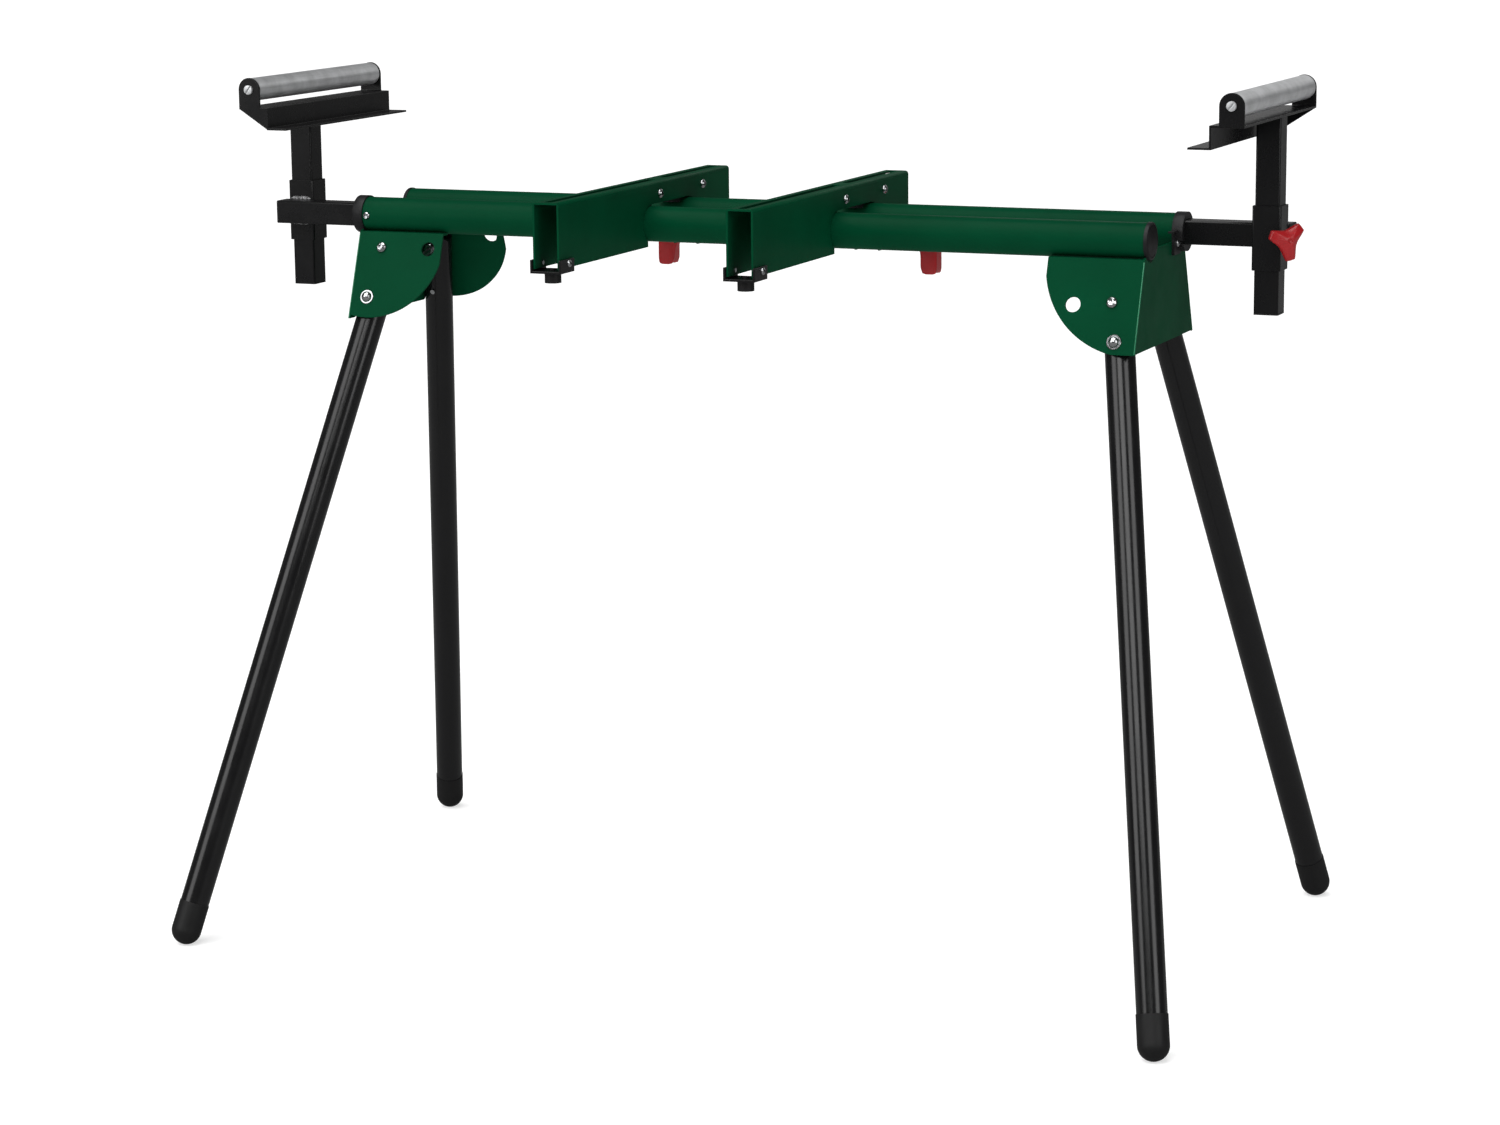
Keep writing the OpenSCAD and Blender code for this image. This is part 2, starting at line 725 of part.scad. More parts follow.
module front_pad(left) {
    color(plastic) translate([holder_x(left), PAD_Y, CLIP_Z]) {
        translate([0, 0, -12]) cylinder(h = 12, r = 9.6);
        cylinder(h = CLIP_T, r = 3);
        translate([0, 0, CLIP_T]) cylinder(h = 1.5, r = 4.5);
    }
}
module left_front_pad() { front_pad(true); }
module right_front_pad() { front_pad(false); }

// hook that grips the rear tube from behind, two cheeks joined by a back
CHEEK_IN = SADDLE_W / 2 + 0.4;
CHEEK_OUT = holder_w / 2 - HOLDER_WALL - GAP;
JAW_SWING = 11;
module jaw_side_view() {
    difference() {
        union() {
            translate(JAW_BOLT) circle(11);
            polygon([
                [88, tube_z + 42], [78.4, tube_z], [78.4, tube_z - 10.3], [69, tube_z - 18.2],
                [68.5, tube_z - 21], [73, tube_z - 24.5],
                [100, tube_z - 29], [140, tube_z - 36], [165, tube_z - 36], [168, tube_z - 22],
                [150, tube_z - 12], [112, tube_z + 12], [107, tube_z + 37]
            ]);
        }
        translate(JAW_BOLT) circle(3 + RUN);
    }
}

// path that the clamp screw follows through the jaw, open at the jaw's lower edge
module screw_path() {
    dy = CLAMP_Y - JAW_BOLT[0];
    dz = CLAMP_Z - JAW_BOLT[1];
    radius = norm([dy, dz]);
    start = atan2(dz, dy);
    sweep = 24;
    translate([-30, JAW_BOLT[0], JAW_BOLT[1]]) rotate([90, 0, 90]) {
        rotate([0, 0, start - sweep]) rotate_extrude(angle = sweep, $fn = 96)
            translate([radius - 4.6, 0]) square([9.2, 60]);
        translate([dy, dz, 0]) cylinder(h = 60, r = 4.6);
    }
}

module clamp_jaw(left) {
    color(plastic) on_holder(left) difference() {
        union() {
            for (x = [-CHEEK_OUT, CHEEK_IN]) upright(x, CHEEK_OUT - CHEEK_IN) jaw_side_view();
            upright(-CHEEK_OUT, 2 * CHEEK_OUT) polygon([
                [112, tube_z - 10], [150, tube_z - 20], [152, tube_z - 15], [114, tube_z - 4]
            ]);
        }
        screw_path();
    }
}
module left_clamp_jaw() { clamp_jaw(true); }
module right_clamp_jaw() { clamp_jaw(false); }

CLAMP_KNOB_X = 40;                           // back face, out from the holder's middle
CLAMP_KNOB_T = 26;
module clamp_screw(left) {
    half = holder_w / 2;
    color(silver) on_holder(left) translate([0, CLAMP_Y, CLAMP_Z]) {
        rod_x(-half - 8, half + 8 + CLAMP_KNOB_X + 6, 4);
        difference() {
            rod_x(half + 0.4, CLAMP_KNOB_X - half - 0.4, 8);
            rod_x(half, CLAMP_KNOB_X, 4);
        }
        translate([-half - 7.4, 0, 0]) rotate([0, 90, 0]) hex_nut(7.5, 7, 4);
    }
}
module left_clamp_screw() { clamp_screw(true); }
module right_clamp_screw() { clamp_screw(false); }

module clamp_knob(left) {
    color(red) on_holder(left) translate([CLAMP_KNOB_X, CLAMP_Y, CLAMP_Z]) difference() {
        union() {
            translate([4, 0, 0]) rotate([0, 90, 0]) rotate([0, 0, -90])
                lobed_knob(43, 14, 10, CLAMP_KNOB_T - 4);
            rod_x(0, 5, 13);
        }
        rod_x(-1, 7, 4);
    }
}
module left_clamp_knob() { clamp_knob(true); }
module right_clamp_knob() { clamp_knob(false); }

front_tube();
rear_tube();
left_bracket();
right_bracket();
tube_caps();
tube_collars();
collar_screws();
pivot_bolts();
pivot_washers_and_nuts();
front_left_leg();
rear_left_leg();
front_right_leg();
rear_right_leg();
front_left_foot();
rear_left_foot();
front_right_foot();
rear_right_foot();
front_left_lock_catch();
rear_left_lock_catch();
front_right_lock_catch();
rear_right_lock_catch();
left_arm();
right_arm();
left_arm_plugs();
right_arm_plugs();
left_post();
right_post();
left_post_plug();
right_post_plug();
left_roller_bracket();
right_roller_bracket();
left_roller_axle();
right_roller_axle();
left_roller();
right_roller();
left_roller_bushes();
right_roller_bushes();
left_post_knob();
right_post_knob();
left_holder();
right_holder();
left_saddles();
right_saddles();
left_holder_bolts();
right_holder_bolts();
left_front_clip();
right_front_clip();
left_front_pad();
right_front_pad();
left_clamp_jaw();
right_clamp_jaw();
left_clamp_screw();
right_clamp_screw();
left_clamp_knob();
right_clamp_knob();
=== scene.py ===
"""Folding stand for a mitre saw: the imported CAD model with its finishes, and mesh pieces for the
screws, lock catches, tube caps, knobs, weld beads and folded edges. Metres, in the row frame:
+X right along the beam tubes, +Y to the rear, +Z up. Sizes of small parts are in mm."""

import json
import math
import random

import bpy
from mathutils import Matrix, Vector


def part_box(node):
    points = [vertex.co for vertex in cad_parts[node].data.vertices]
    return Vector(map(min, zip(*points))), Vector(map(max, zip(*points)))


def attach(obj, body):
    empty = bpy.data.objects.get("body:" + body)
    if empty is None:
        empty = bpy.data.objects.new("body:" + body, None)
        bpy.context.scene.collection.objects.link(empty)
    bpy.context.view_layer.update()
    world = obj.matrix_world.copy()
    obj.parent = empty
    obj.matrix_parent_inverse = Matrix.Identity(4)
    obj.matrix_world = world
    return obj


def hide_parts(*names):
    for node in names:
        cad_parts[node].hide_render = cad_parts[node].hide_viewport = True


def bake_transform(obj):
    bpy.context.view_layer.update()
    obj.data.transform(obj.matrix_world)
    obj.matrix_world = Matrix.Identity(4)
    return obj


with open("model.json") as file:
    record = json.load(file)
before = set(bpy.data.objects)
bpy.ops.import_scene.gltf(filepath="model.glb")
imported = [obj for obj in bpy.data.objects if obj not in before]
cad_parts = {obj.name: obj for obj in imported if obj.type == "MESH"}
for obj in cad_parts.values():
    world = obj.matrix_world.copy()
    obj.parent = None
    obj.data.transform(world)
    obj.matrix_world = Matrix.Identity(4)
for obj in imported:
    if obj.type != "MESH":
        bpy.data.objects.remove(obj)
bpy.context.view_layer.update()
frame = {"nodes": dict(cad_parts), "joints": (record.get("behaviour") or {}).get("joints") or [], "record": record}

MM = 0.001
NODES = frame["nodes"]
JOINTS = {joint["name"]: joint for joint in frame["joints"]}
SLOT_OF = {row["node"]: row["material_slot"] for row in frame["record"]["subparts"]}

# ---------------------------------------------------------------- camera

CAMERA_AT = (1.7514, -4.1730, 1.3454)
CAMERA_YAW = 22.990        # left of straight to the rear, in degrees
CAMERA_PITCH = 11.162      # downwards
CAMERA_ROLL = -0.571
CAMERA_LENS = 90.78
CAMERA_SENSOR = 36         # its width in mm


def add_camera():
    yaw, pitch, roll = (math.radians(a) for a in (CAMERA_YAW, CAMERA_PITCH, CAMERA_ROLL))
    ahead = math.cos(pitch)
    forward = Vector((-math.sin(yaw) * ahead, math.cos(yaw) * ahead, -math.sin(pitch)))
    level = Vector((math.cos(yaw), math.sin(yaw), 0))
    up = level.cross(forward)
    right = level * math.cos(roll) + up * math.sin(roll)
    up = up * math.cos(roll) - level * math.sin(roll)
    data = bpy.data.cameras.new("camera")
    data.lens = CAMERA_LENS
    data.sensor_width = CAMERA_SENSOR
    data.clip_start, data.clip_end = 0.05, 100
    camera = bpy.data.objects.new("camera", data)
    turn = Matrix((right, up, -forward)).transposed().to_4x4()
    camera.matrix_world = Matrix.Translation(CAMERA_AT) @ turn
    bpy.context.scene.collection.objects.link(camera)
    bpy.context.scene.camera = camera


add_camera()

# ---------------------------------------------------------------- materials


class Nodes:
    """A material's node tree, with short calls for the nodes used here."""

    def __init__(self, name):
        self.material = bpy.data.materials.new(name)
        self.material.use_nodes = True
        self.tree = self.material.node_tree
        self.shader = self.tree.nodes["Principled BSDF"]
        self.where = self.tree.nodes.new("ShaderNodeTexCoord").outputs["Object"]

    def set(self, **sockets):
        for name, value in sockets.items():
            self.shader.inputs[name.replace("_", " ")].default_value = value

    def link(self, out, socket):
        self.tree.links.new(out, self.shader.inputs[socket])

    def stretched(self, scale):
        node = self.tree.nodes.new("ShaderNodeMapping")
        node.inputs["Scale"].default_value = scale
        self.tree.links.new(self.where, node.inputs["Vector"])
        return node.outputs["Vector"]

    def noise(self, scale, detail=3.0, rough=0.5, where=None):
        node = self.tree.nodes.new("ShaderNodeTexNoise")
        node.inputs["Scale"].default_value = scale
        node.inputs["Detail"].default_value = detail
        node.inputs["Roughness"].default_value = rough
        self.tree.links.new(where or self.where, node.inputs["Vector"])
        return node.outputs["Fac"]

    def cells(self, scale):
        node = self.tree.nodes.new("ShaderNodeTexVoronoi")
        node.inputs["Scale"].default_value = scale
        self.tree.links.new(self.where, node.inputs["Vector"])
        return node.outputs["Distance"]

    def ramp(self, value, stops):
        node = self.tree.nodes.new("ShaderNodeValToRGB")
        elements = node.color_ramp.elements
        while len(elements) < len(stops):
            elements.new(0.5)
        for element, (at, colour) in zip(elements, stops):
            element.position = at
            channels = colour if isinstance(colour, tuple) else (colour,) * 3
            element.color = (*channels, 1)
        self.tree.links.new(value, node.inputs["Fac"])
        return node.outputs["Color"]

    def mix(self, factor, a, b):
        node = self.tree.nodes.new("ShaderNodeMix")
        node.data_type = "RGBA"
        self.tree.links.new(factor, node.inputs["Factor"])
        self.tree.links.new(a, node.inputs[6])
        self.tree.links.new(b, node.inputs[7])
        return node.outputs[2]

    def bump(self, height, distance, strength=1.0, after=None):
        node = self.tree.nodes.new("ShaderNodeBump")
        node.inputs["Distance"].default_value = distance
        node.inputs["Strength"].default_value = strength
        self.tree.links.new(height, node.inputs["Height"])
        if after:
            self.tree.links.new(after, node.inputs["Normal"])
        return node.outputs["Normal"]


def shade(colour, factor):
    """A colour made darker or lighter."""
    return tuple(channel * factor for channel in colour)


def powder_coat(name, colour, rough, peel, dust, gloss):
    """Sprayed paint: orange peel, faint mottling, and a little dust and rubbing."""
    n = Nodes(name)
    n.set(Specular_IOR_Level=gloss)
    mottle = n.ramp(n.noise(9, 4), [(0.3, shade(colour, 0.88)), (0.7, shade(colour, 1.12))])
    rubbed = n.ramp(n.noise(38, 6, 0.7), [(0.62, 0.0), (0.80, dust)])
    dusty = n.ramp(n.noise(120), [(0.3, shade(colour, 1.9)), (0.8, shade(colour, 2.6))])
    n.link(n.mix(rubbed, mottle, dusty), "Base Color")
    n.link(n.ramp(n.noise(24, 5, 0.6), [(0.25, rough - 0.05), (0.75, rough + 0.07)]), "Roughness")
    fine = n.bump(n.noise(1400, 2), 0.00003, 0.35)
    n.link(n.bump(n.noise(420, 2), peel, 0.5, fine), "Normal")
    return n.material


def moulded(name, colour, rough, grain, gloss, coat=0.0):
    """Moulded plastic or rubber with a fine grain."""
    n = Nodes(name)
    mottle = n.ramp(n.noise(30, 5, 0.6), [(0.3, shade(colour, 0.82)), (0.75, shade(colour, 1.2))])
    n.link(mottle, "Base Color")
    n.link(n.ramp(n.noise(60, 4), [(0.3, rough - 0.06), (0.7, rough + 0.06)]), "Roughness")
    n.link(n.bump(n.cells(1700), grain, 0.5, n.bump(n.noise(160, 3), grain * 2, 0.3)), "Normal")
    n.set(Specular_IOR_Level=gloss)
    if coat:
        n.set(Coat_Weight=coat, Coat_Roughness=0.12)
    return n.material


def bright_metal(name, colour, rough, brush, metallic):
    """Plated steel, brushed along the directions in which brush is small."""
    n = Nodes(name)
    along = n.stretched(brush)
    spangle = n.ramp(n.noise(40, 4, 0.6), [(0.3, shade(colour, 0.8)), (0.7, shade(colour, 1.12))])
    n.link(spangle, "Base Color")
    n.link(n.ramp(n.noise(1, 4, 0.6, along), [(0.3, rough - 0.06), (0.75, rough + 0.12)]), "Roughness")
    n.link(n.bump(n.noise(1, 5, 0.7, along), 0.00002, 0.5), "Normal")
    n.set(Metallic=metallic)
    return n.material


def weld_with_painted_glints():
    """Rough weld bead in black paint, speckled with light grey that is a painted glint of the glossy bead."""
    n = Nodes("weld")
    # the light-grey speckles are painted glints, standing in for highlights on the glossy black paint
    colour = n.ramp(n.noise(240, 5, 0.7), [(0.40, (0.03, 0.03, 0.03)), (0.55, (0.5, 0.5, 0.51))])
    n.link(colour, "Base Color")
    n.link(n.ramp(n.noise(300, 3), [(0.3, 0.3), (0.7, 0.6)]), "Roughness")
    n.link(n.bump(n.noise(700, 4), 0.0003, 0.8), "Normal")
    n.set(Metallic=0.6)
    return n.material


GREEN = (0.0004, 0.038, 0.0150)
BLACK = (0.0034, 0.0034, 0.0037)
FINISHES = {
    "green_paint": powder_coat("green_powder_coat", GREEN, 0.38, 0.00008, 0.05, 0.022),
    "black_paint": powder_coat("black_satin_paint", BLACK, 0.27, 0.00005, 0.25, 0.22),
    "black_plastic": moulded("black_plastic", (0.0080, 0.0080, 0.0085), 0.44, 0.00004, 0.18),
    "black_rubber": moulded("black_rubber", (0.0052, 0.0052, 0.0054), 0.50, 0.00006, 0.25),
    "red_plastic": moulded("red_plastic", (0.27, 0.004, 0.006), 0.34, 0.00003, 0.35, 0.15),
    "bright_steel": bright_metal("bright_steel", (0.46, 0.47, 0.48), 0.16, (220, 220, 220), 1.0),
    "galvanised": bright_metal("galvanised_steel", (0.60, 0.61, 0.62), 0.34, (900, 12, 900), 0.72),
}
LEG_PAINT = powder_coat("black_leg_paint", BLACK, 0.19, 0.00004, 0.25, 0.42)
# a lighter green for the thin rods along the brackets' folds: a painted highlight of the bends, not worn paint
PAINTED_FOLD_HIGHLIGHT = powder_coat("green_painted_fold_highlight", (0.012, 0.15, 0.070), 0.30, 0.00006, 0.10, 0.5)
WELD = weld_with_painted_glints()

for name, node in NODES.items():
    for slot in node.material_slots:
        slot.material = LEG_PAINT if name.endswith("_leg") else FINISHES[SLOT_OF[name]]

# ---------------------------------------------------------------- soft edges on the CAD pieces

EDGE = {"green_paint": 0.5, "black_paint": 0.6, "black_plastic": 0.5, "galvanised": 0.4}     # mm
PLAIN = ("_leg", "_tube", "left_bracket", "right_bracket", "_roller")      # these keep their edges


def soften(node, width):
    """A small rounding on a CAD piece's sharp edges, so that they catch the light."""
    weld = node.modifiers.new("weld", "WELD")
    weld.merge_threshold = 0.00001
    bevel = node.modifiers.new("bevel", "BEVEL")
    bevel.width = width * MM
    bevel.segments = 2
    bevel.limit_method = "ANGLE"
    bevel.angle_limit = math.radians(40)
    bevel.harden_normals = True

# ---------------------------------------------------------------- mesh building

TIP = 0.02                 # mm, the radius that closes the end of a turned shape
SIXTH = math.pi / 3        # one side of a hexagon


class Mesh:
    """Vertices and faces gathered in one piece."""

    def __init__(self):
        self.points, self.faces = [], []

    def loft(self, rings):
        """A closed skin over rings of points; each ring has as many points as the last."""
        count, base = len(rings[0]), len(self.points)
        for ring in rings:
            self.points += [tuple(p) for p in ring]
        for i in range(len(rings) - 1):
            for k in range(count):
                a, b = base + i * count + k, base + i * count + (k + 1) % count
                self.faces.append((a, b, b + count, a + count))
        self.faces.append(tuple(base + k for k in reversed(range(count))))
        last = base + (len(rings) - 1) * count
        self.faces.append(tuple(last + k for k in range(count)))

    def lathe(self, place, profile, sides=40, hexagon=()):
        """profile: (radius, height) in mm from the back to the front; the rows in hexagon are six-sided."""
        rings = []
        for row, (radius, height) in enumerate(profile):
            ring = []
            for k in range(sides):
                turn = 2 * math.pi * k / sides
                r = radius
                if row in hexagon:
                    r = radius * math.cos(SIXTH / 2) / math.cos(turn % SIXTH - SIXTH / 2)
                ring.append(place @ Vector((r * math.cos(turn) * MM, r * math.sin(turn) * MM, height * MM)))
            rings.append(ring)
        self.loft(rings)

    def piece(self, name, slot, body, *stands_for, smooth=35, material=None):
        """The gathered mesh as an object on a body, or on none."""
        mesh = bpy.data.meshes.new(name)
        mesh.from_pydata(self.points, [], self.faces)
        mesh.materials.append(material or FINISHES[slot])
        mesh.validate()
        mesh.shade_smooth()
        mesh.set_sharp_from_angle(angle=math.radians(smooth))
        obj = bpy.data.objects.new(name, mesh)
        bpy.context.scene.collection.objects.link(obj)
        bpy.context.view_layer.update()
        if body:
            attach(obj, body)
        if stands_for:
            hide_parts(*stands_for)
        return obj


def facing(at, axis, spin=0.0):
    """A frame at a point whose +Z looks along axis."""
    turn = Vector(axis).to_track_quat("Z", "Y").to_matrix().to_4x4()
    return Matrix.Translation(at) @ turn @ Matrix.Rotation(math.radians(spin), 4, "Z")


def screw(mesh, place, head, height, shank, length, socket):
    """Domed socket head on its seat at z 0, with its shank behind it. Sizes in mm."""
    back = [(TIP, -length), (shank, -length), (shank, 0), (head, 0), (head, height * 0.18)]
    dome = [
        (head * math.cos(a), height * (0.18 + 0.82 * math.sin(a)))
        for a in (math.radians(12 * step) for step in range(1, 6))
        if head * math.cos(a) > socket * 1.25
    ]
    rim = height * 0.96
    recess = [
        (socket * 1.22, rim), (socket, rim - 0.25), (socket * 0.96, height * 0.3), (TIP, height * 0.2)
    ]
    rows = back + dome + recess
    hexed = (len(rows) - 3, len(rows) - 2)
    mesh.lathe(place, rows, hexagon=hexed)


def nut(mesh, place, across, height, shank):
    """Hexagon nut with chamfered corners, and the end of its screw."""
    corner = across / 2 / math.cos(math.pi / 6)
    rows = [
        (TIP, 0), (corner, 0), (corner, height - 0.8), (corner * 0.9, height), (shank + 0.4, height),
        (shank, height - 0.3), (shank, height + 1.4), (shank - 0.4, height + 1.8), (TIP, height + 1.8)
    ]
    mesh.lathe(place, rows, sides=48, hexagon=(1, 2))

# ---------------------------------------------------------------- leg pivots

SIDES = ("left", "right")
LEGS = [f"{end}_{side}" for side in SIDES for end in ("front", "rear")]
LEG_TO_PLATE = 24.0        # leg axis to the plate's outer face
LEG_RADIUS = 17.5
SPACER = [(4.1, 0), (9, 0), (9, 3.9), (4.1, 3.9)]

# head radius and height, shank radius, length behind the seat, socket radius
PIVOT_BOLT = (6.6, 4.6, 4.0, 72, 2.9)
EAR_SCREW = (4.2, 2.8, 2, 5.8, 1.7)
ARM_LOCK_SCREW = (4.6, 2.6, 3, 6, 2.6)
CROSS_BOLT = (5.6, 3.8, 3, 31, 2.7)
CLIP_SCREW = (4.4, 2.9, 2.5, 6, 1.8)

# across the flats, height, shank radius
PIVOT_NUT = (13, 6.5, 4.0)
CROSS_NUT = (10, 4.6, 3.0)


def leg_hinge(leg):
    """A leg's pivot, and the direction of its bolt's head, away from the stand's middle."""
    hinge = JOINTS[f"{leg}_leg_fold"]
    out = Vector(hinge["axis"])
    if out.y * (-1 if leg.startswith("front") else 1) < 0:
        out = -out
    return Vector(hinge["pos_m"]), out


bolts, nuts = Mesh(), Mesh()
for leg in LEGS:
    pivot, out = leg_hinge(leg)
    screw(bolts, facing(pivot + out * LEG_TO_PLATE * MM, out, 15), *PIVOT_BOLT)
    nuts.lathe(facing(pivot + out * (LEG_RADIUS + 0.1) * MM, out), SPACER)
    nut(nuts, facing(pivot - out * (LEG_RADIUS + 0.4) * MM, -out, 20), *PIVOT_NUT)
bolts.piece("leg_pivot_bolts", "bright_steel", "beam", "pivot_bolts")
nuts.piece("leg_pivot_nuts", "bright_steel", "beam", "pivot_washers_and_nuts")

# ---------------------------------------------------------------- collar screws

EAR_SCREW_Y, EAR_SCREW_Z = 0.038, 0.856        # on the right collar's ear
COLLAR_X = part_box("right_bracket")[1].x + 3.4 * MM
TUBE_LOW, TUBE_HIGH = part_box("rear_tube")
TUBE_END = TUBE_HIGH.x
TUBE_Y = (TUBE_LOW.y + TUBE_HIGH.y) / 2
TUBE_Z = (TUBE_LOW.z + TUBE_HIGH.z) / 2
TUBE_R = (TUBE_HIGH.z - TUBE_LOW.z) / 2
LOCK_SCREW_X = TUBE_END - 6 * MM
LOCK_SCREW_SEAT = TUBE_Y + TUBE_R - 0.2 * MM

# the left end is the right one turned by half a turn
screws = Mesh()
for turn in (1, -1):
    ear = (turn * COLLAR_X, turn * EAR_SCREW_Y, EAR_SCREW_Z)
    screw(screws, facing(ear, (turn, 0, 0), 10), *EAR_SCREW)
    seat = (turn * LOCK_SCREW_X, turn * LOCK_SCREW_SEAT, TUBE_Z)
    screw(screws, facing(seat, (0, turn, 0), 25), *ARM_LOCK_SCREW)
screws.piece("collar_lock_screws", "bright_steel", "beam", "collar_screws")

# ---------------------------------------------------------------- lock catches

LOCK_RADIUS = {"left": 63.5, "right": 46}      # down the leg from its pivot

# the leaf spring's outline: (out from the leg's axis, up the leg from the button's middle)
LEAF_HALF_WIDTH = 5
LEAF = [
    (12, 7), (13, 7), (13, -8), (0, -49), (-14.4, -6), (-14.4, 5),
    (-13.4, 5), (-13.4, -6), (0, -46), (12, -8)
]

# the tail, the button's shoulder and its domed cap: (radius, out from the leg's axis)
CAP_RADIUS, CAP_CENTRE = 7.0, 23.5
CAP_ANGLES = (12.4, 25, 40, 55, 70, 82, 90)
BUTTON = [(TIP, -19.5), (3, -19.5), (3, 12), (8.6, 12), (8.6, 24.7), (8.3, 25)] + [
    (max(TIP, CAP_RADIUS * math.cos(a)), CAP_CENTRE + CAP_RADIUS * math.sin(a))
    for a in map(math.radians, CAP_ANGLES)
]

for leg in LEGS:
    catch = f"{leg}_lock_catch"
    pivot, out = leg_hinge(leg)
    foot = sum(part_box(f"{leg}_foot"), Vector()) / 2
    up = pivot - foot
    up = (up - out * up.dot(out)).normalized()
    across = out.cross(up)
    at = pivot - up * LOCK_RADIUS[leg.split("_")[1]] * MM
    button, leaf = Mesh(), Mesh()
    button.lathe(facing(at, out), BUTTON)
    button.piece(f"{leg}_lock_button", SLOT_OF[catch], f"{leg}_catch", catch)
    leaf.loft([
        [at + (across * turn * LEAF_HALF_WIDTH + out * y + up * z) * MM for y, z in LEAF]
        for turn in (-1, 1)
    ])
    spring = leaf.piece(f"{leg}_lock_leaf", SLOT_OF[catch], None)
    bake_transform(spring)

# ---------------------------------------------------------------- roller axles

AXLE_RADIUS = 4.0
AXLE_HEAD = (5.6, 3.0, 1.7, 1.5)       # radius, height, slot's width and depth


def slotted_head(mesh, place, radius, height, slot, depth):
    """Cheese head with a straight slot across it."""
    mesh.lathe(place, [(TIP, 0), (radius, 0), (radius, height - depth), (TIP, height - depth)])
    for turn in (0, math.pi):
        rings = []
        floor = height - depth - 0.1
        for level, inset in ((floor, 0), (height - 0.5, 0), (height - 0.1, 0.2), (height, 0.6)):
            r = radius - inset
            low = math.asin((slot / 2 + inset * 0.4) / r)
            arc = [low + (math.pi - 2 * low) * k / 20 for k in range(21)]
            rings.append([
                place @ Vector((r * math.cos(a + turn) * MM, r * math.sin(a + turn) * MM, level * MM))
                for a in arc
            ])
        mesh.loft(rings)


for side in SIDES:
    low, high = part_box(f"{side}_roller_axle")
    x, z = (low.x + high.x) / 2, (low.z + high.z) / 2
    length = (high.y - low.y) / MM
    axle = Mesh()
    axle.lathe(facing((x, high.y - 2.9 * MM, z), (0, -1, 0)), [
        (TIP, 0), (AXLE_RADIUS, 0), (AXLE_RADIUS, length - 5.8), (TIP, length - 5.8)
    ])
    for y, turn in ((low.y + 3 * MM, -1), (high.y - 3 * MM, 1)):
        slotted_head(axle, facing((x, y, z), (0, turn, 0), 52), *AXLE_HEAD)
    axle.piece(f"{side}_axle_screw", "galvanised", f"{side}_post", f"{side}_roller_axle")

# ---------------------------------------------------------------- holder bolts and clip screws

CLIP_SCREW_Y, CLIP_SCREW_Z = -0.291, 0.8465
FRONT_BOLT_Y = -0.030
for side in SIDES:
    low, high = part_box(f"{side}_holder")
    pivot = JOINTS[f"{side}_clamp_jaw_swing"]["pos_m"]
    fasteners = Mesh()
    for y in (FRONT_BOLT_Y, pivot[1]):
        screw(fasteners, facing((high.x, y, pivot[2]), (1, 0, 0), 12), *CROSS_BOLT)
        nut(fasteners, facing((low.x, y, pivot[2]), (-1, 0, 0), 8), *CROSS_NUT)
    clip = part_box(f"{side}_front_clip")
    for x, turn in ((clip[1].x, 1), (clip[0].x, -1)):
        seat = (x, CLIP_SCREW_Y, CLIP_SCREW_Z)
        screw(fasteners, facing(seat, (turn, 0, 0), 20), *CLIP_SCREW)
    fasteners.piece(f"{side}_holder_fasteners", "bright_steel", f"{side}_holder", f"{side}_holder_bolts")

# ---------------------------------------------------------------- tube end caps

radius = TUBE_R / MM
CAP = [
    (TIP, -16), (radius - 2.1, -16), (radius - 2.1, 0), (radius + 0.8, 0), (radius + 0.8, 3.0),
    (radius + 0.4, 4.1), (radius - 0.8, 4.8), (radius - 2.2, 4.9), (radius - 2.5, 4.1),
    (radius - 3.1, 4.1), (radius - 3.4, 4.7), (radius * 0.5, 4.9), (TIP, 4.95)
]
caps = Mesh()
for turn in (1, -1):
    caps.lathe(facing((turn * TUBE_END, -turn * TUBE_Y, TUBE_Z), (turn, 0, 0)), CAP, sides=72)
caps.piece("beam_end_caps", "black_plastic", "beam", "tube_caps")

# ---------------------------------------------------------------- knobs


def smooth_loop(points, steps):
    """Closed Catmull-Rom curve through points."""
    loop = []
    for i in range(len(points)):
        p = [Vector(points[(i + k) % len(points)]) for k in (-1, 0, 1, 2)]
        for s in range(steps):
            t = s / steps
            loop.append(0.5 * (
                2 * p[1] + (p[2] - p[0]) * t + (2 * p[0] - 5 * p[1] + 4 * p[2] - p[3]) * t * t
                + (3 * p[1] - p[0] - 3 * p[2] + p[3]) * t ** 3))
    return loop


def knob(mesh, place, reach, tip, waist, layers):
    """Three blunt lobes. layers: (height, scale of the lobes, share of a plain circle)."""
    corners = []
    for lobe in range(3):
        spin = Matrix.Rotation(math.radians(120 * lobe), 2)
        for x, y in ((reach - 1.6, -tip), (reach, -tip * 0.55), (reach, tip * 0.55), (reach - 1.6, tip)):
            corners.append(spin @ Vector((x, y)))
        for angle, r in ((42, waist * 1.08), (60, waist), (78, waist * 1.08)):
            a = math.radians(angle + 120 * lobe)
            corners.append(Vector((r * math.cos(a), r * math.sin(a))))
    outline = smooth_loop(corners, 5)
    rings = []
    for height, scale, roundness in layers:
        ring = []
        for p in outline:
            circle = p.normalized() * waist
            q = p.lerp(circle, roundness) * scale
            ring.append(place @ Vector((q.x * MM, q.y * MM, height * MM)))
        rings.append(ring)
    mesh.loft(rings)


def upright(at, axis, spin):
    """A frame at a point with +Z along a level axis and, before the spin, +Y up."""
    up = Vector((0, 0, 1))
    turn = Matrix((up.cross(axis), up, axis)).transposed().to_4x4()
    return Matrix.Translation(at) @ turn @ Matrix.Rotation(math.radians(spin), 4, "Z")


